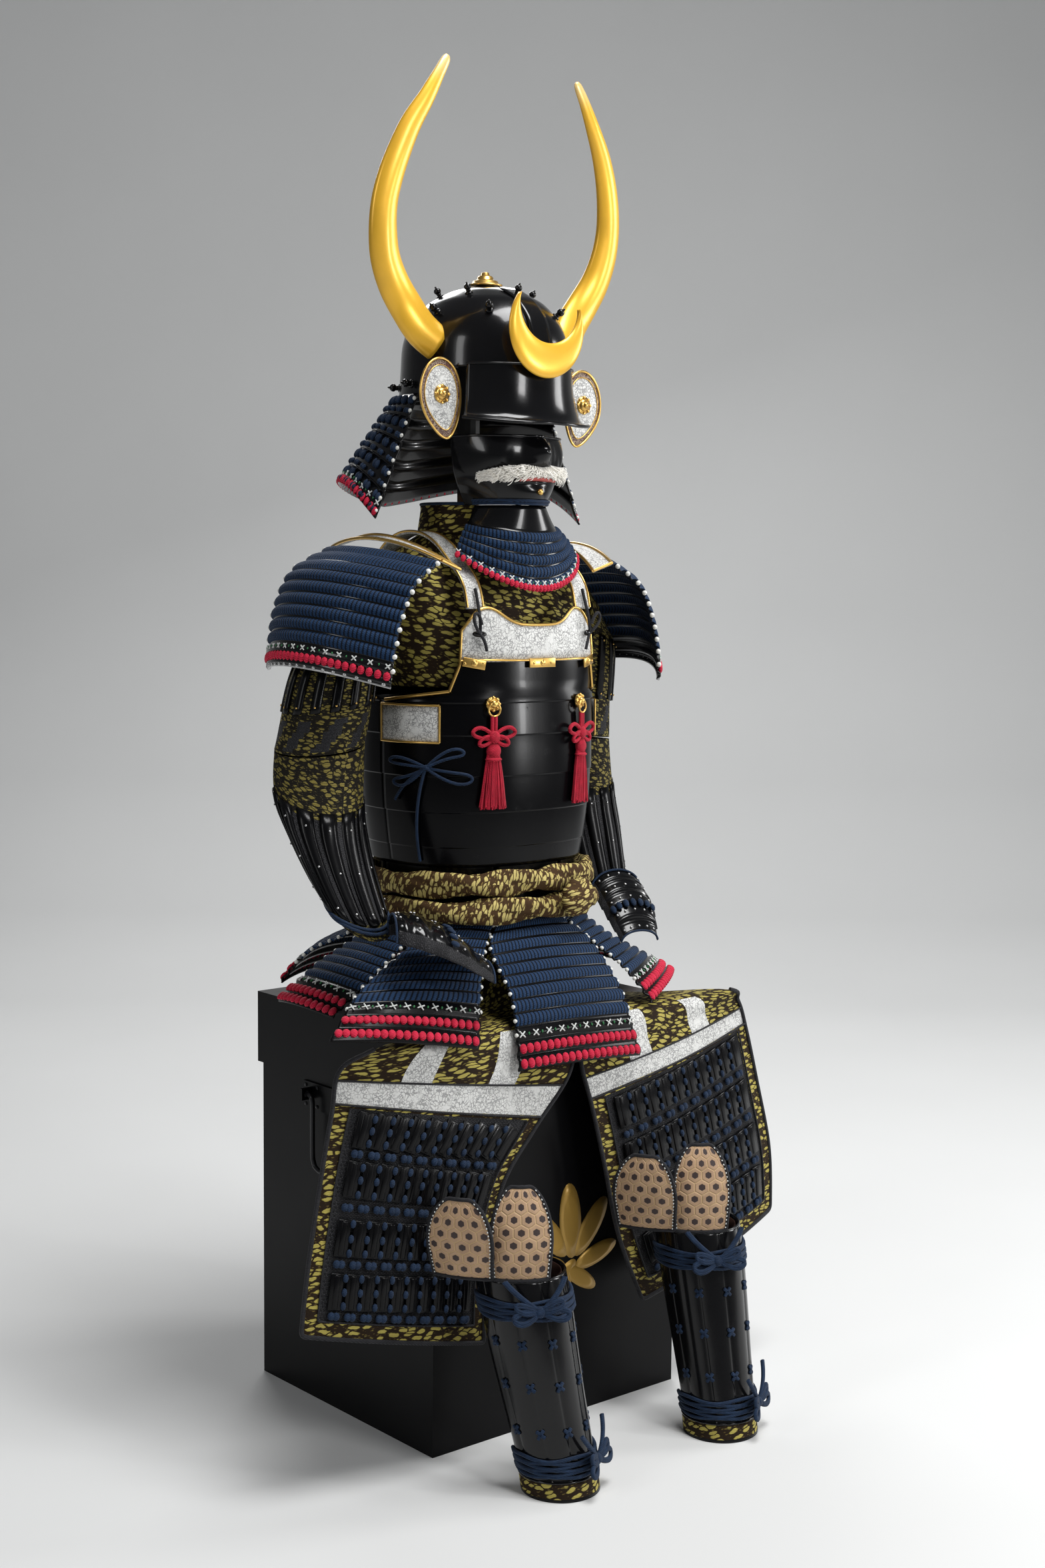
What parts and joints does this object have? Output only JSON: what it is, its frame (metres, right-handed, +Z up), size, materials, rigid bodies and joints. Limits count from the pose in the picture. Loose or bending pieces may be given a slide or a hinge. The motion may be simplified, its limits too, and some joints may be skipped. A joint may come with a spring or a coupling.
{
  "type": "samurai armour on storage box",
  "caption": "Seated samurai armour with horned helmet, face mask, laced guards and thigh armour, displayed on its storage box.",
  "frame": {"origin": "centre of the storage box's underside, on the ground", "axes": "+Z up, -Y the way the figure faces, -X the figure's right"},
  "size_m": [0.8156, 0.6181, 1.765],
  "materials": {
    "black_lacquer": "gloss black lacquer over iron plates and wood",
    "black_iron": "black drop handle",
    "gold": "satin gold",
    "white_leather": "white leather with a small printed pattern and a gold rim",
    "tan_leather": "tan leather quilted in hexagons",
    "red_silk": "red silk cord",
    "white_fur": "white fur",
    "pale_wood": "plain wood",
    "brocade": "olive and gold brocade",
    "navy_lacing": "navy silk lacing on black lames"
  },
  "bodies": {
    "armour_on_box": {"box_body": "black_lacquer", "box_lid": "black_lacquer", "helmet_bowl": "black_lacquer", "helmet_peak": "black_lacquer", "helmet_top_fitting": "gold", "neck_guard": "navy_lacing", "turnback_right": "white_leather", "horn_right": "gold", "turnback_left": "white_leather", "horn_left": "gold", "crescent": "gold", "face_mask": "black_lacquer", "moustache": "white_fur", "throat_guard": "navy_lacing", "cuirass_front": "black_lacquer", "cuirass_back": "black_lacquer", "chest_board": "white_leather", "side_board_right": "white_leather", "side_board_left": "white_leather", "shoulder_strap_right": "white_leather", "shoulder_strap_left": "white_leather", "vest": "brocade", "collar": "brocade", "tasset_front": "navy_lacing", "tasset_front_right": "navy_lacing", "tasset_front_left": "navy_lacing", "tasset_side_right": "navy_lacing", "tasset_side_left": "navy_lacing", "tasset_back_right": "navy_lacing", "tasset_back_left": "navy_lacing", "sash_upper": "brocade", "sash_lower": "brocade", "sash_knot": "brocade", "shoulder_guard_right": "navy_lacing", "shoulder_top_plate_right": "white_leather", "shoulder_guard_left": "navy_lacing", "shoulder_top_plate_left": "white_leather", "upper_sleeve_right": "brocade", "forearm_sleeve_right": "brocade", "hand_guard_right": "black_lacquer", "upper_sleeve_left": "brocade", "forearm_sleeve_left": "brocade", "hand_guard_left": "black_lacquer", "thigh_guard_right": "brocade", "thigh_guard_left": "brocade", "shin_guard_right": "black_lacquer", "knee_guard_main_right": "tan_leather", "knee_guard_outer_right": "tan_leather", "shin_guard_left": "black_lacquer", "knee_guard_main_left": "tan_leather", "knee_guard_outer_left": "tan_leather", "tassel_right": "red_silk", "tassel_left": "red_silk", "stand": "pale_wood"},
    "handle_right": {"handle_right": "black_iron"},
    "handle_left": {"handle_left": "black_iron"}
  },
  "joints": [
    {"name": "handle_right_swing", "type": "hinge", "parent": "armour_on_box", "child": "handle_right", "pos_m": [-0.2225, 0, 0.421], "axis": [0, 1, 0], "range_deg": [0, 100]},
    {"name": "handle_left_swing", "type": "hinge", "parent": "armour_on_box", "child": "handle_left", "pos_m": [0.2225, 0, 0.421], "axis": [0, -1, 0], "range_deg": [0, 100]}
  ]
}
